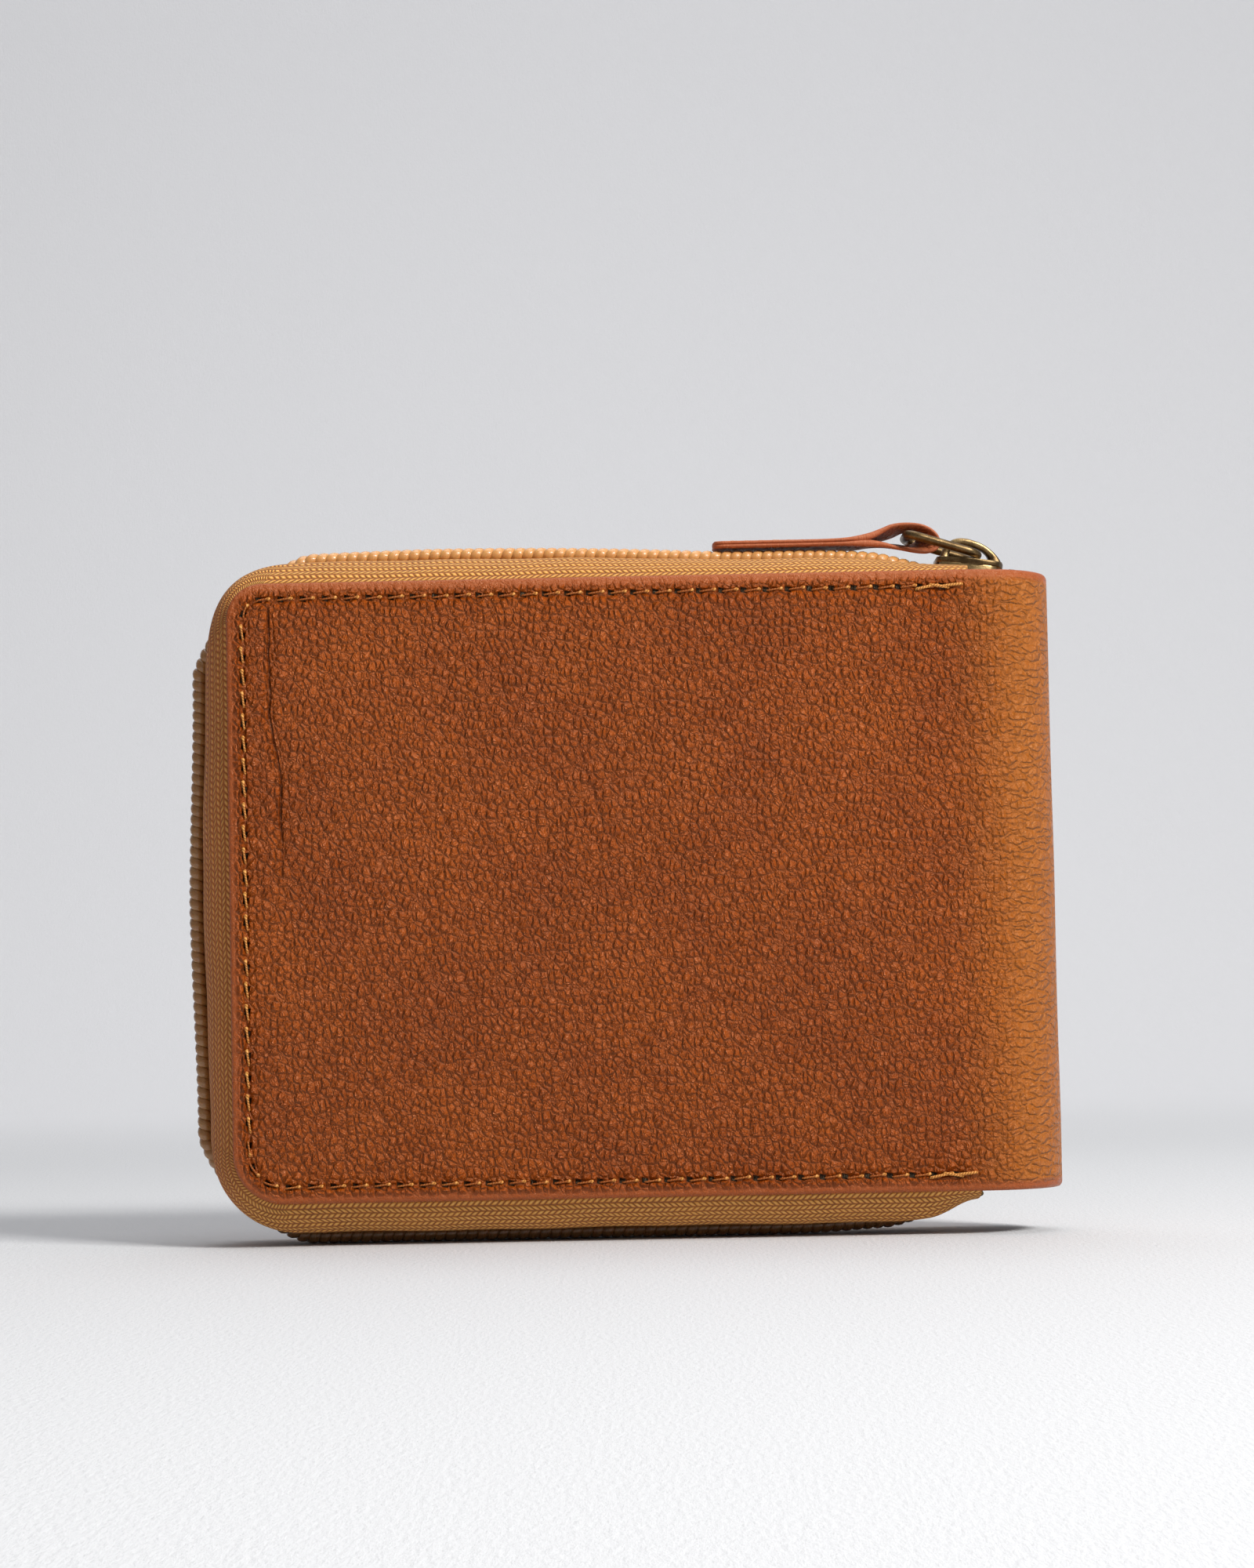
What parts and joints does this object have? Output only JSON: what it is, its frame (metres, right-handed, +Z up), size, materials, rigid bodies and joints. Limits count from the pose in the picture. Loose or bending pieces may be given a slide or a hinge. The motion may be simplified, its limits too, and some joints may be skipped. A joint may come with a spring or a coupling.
{
  "type": "zip around wallet",
  "caption": "Bifold leather wallet closed on three sides by a coil zip, with a slider, pull ring and leather pull tab, and card pockets inside.",
  "frame": {"origin": "middle of the closed wallet in X and Y, on the surface that its lower zip run stands on", "axes": "+X towards the spine along the zipped edges, +Y from the front cover to the back cover, +Z up from the standing edge to the edge with the slider"},
  "size_m": [0.12, 0.023, 0.0984],
  "materials": {
    "hide": "pebbled, semi-matt tan",
    "pocket_leather": "smooth, matt tan",
    "lining": "woven, dark brown",
    "board": "bonded fibre board",
    "zip_tape": "twill, golden tan",
    "zip_coil": "nylon coil, golden tan",
    "thread": "waxed thread, tan",
    "brass": "antique, rubbed at its edges",
    "vinyl": "clear film"
  },
  "bodies": {
    "back_cover": {"back_leather": "hide", "back_stiffener": "board", "back_lining": "lining", "banknote_pocket_wall": "pocket_leather", "back_card_pocket_1": "pocket_leather", "back_card_pocket_2": "pocket_leather", "back_card_pocket_3": "pocket_leather", "back_pocket_stitching": "thread", "back_edge_stitching": "thread", "zip_tape_back": "zip_tape", "zip_coil_back": "zip_coil", "zip_top_stop_back": "brass", "zip_bottom_stop": "brass"},
    "spine": {"spine_leather": "hide", "spine_lining": "lining"},
    "front_cover": {"front_leather": "hide", "front_stiffener": "board", "front_lining": "lining", "front_pocket_base": "pocket_leather", "front_card_pocket_1": "pocket_leather", "front_card_pocket_2": "pocket_leather", "id_window": "vinyl", "id_frame": "pocket_leather", "front_pocket_stitching": "thread", "front_edge_stitching": "thread", "zip_tape_front": "zip_tape", "zip_coil_front": "zip_coil", "zip_top_stop_front": "brass"},
    "slider": {"slider_body": "brass", "slider_crown": "brass"},
    "pull_ring": {"pull_ring": "brass"},
    "pull_tab": {"pull_tab": "hide", "pull_tab_stitching": "thread"}
  },
  "joints": [
    {"name": "back_fold", "type": "hinge", "parent": "back_cover", "child": "spine", "pos_m": [0.05663, 0.00813, 0.0485], "axis": [0, 0, 1], "range_deg": [0, 85], "deforming": ["zip_coil_front", "zip_tape_front"]},
    {"name": "front_fold", "type": "hinge", "parent": "spine", "child": "front_cover", "pos_m": [0.05663, -0.00813, 0.0485], "axis": [0, 0, 1], "range_deg": [0, 85], "deforming": ["zip_coil_front", "zip_tape_front"]},
    {"name": "zip_travel", "type": "hinge", "parent": "back_cover", "child": "slider", "pos_m": [-0.025, 0, -0.5446], "axis": [0, -1, 0], "range_deg": [0, 7.5]},
    {"name": "ring_swing", "type": "hinge", "parent": "slider", "child": "pull_ring", "pos_m": [0.05024, 0, 0.09393], "axis": [0, 1, 0], "range_deg": [0, 120]},
    {"name": "tab_swing", "type": "hinge", "parent": "pull_ring", "child": "pull_tab", "pos_m": [0.0405, 0, 0.09698], "axis": [0, 1, 0], "range_deg": [0, 50]}
  ],
  "couplings": [
    {"joint": "front_fold", "follows": "back_fold", "ratio": 1}
  ]
}
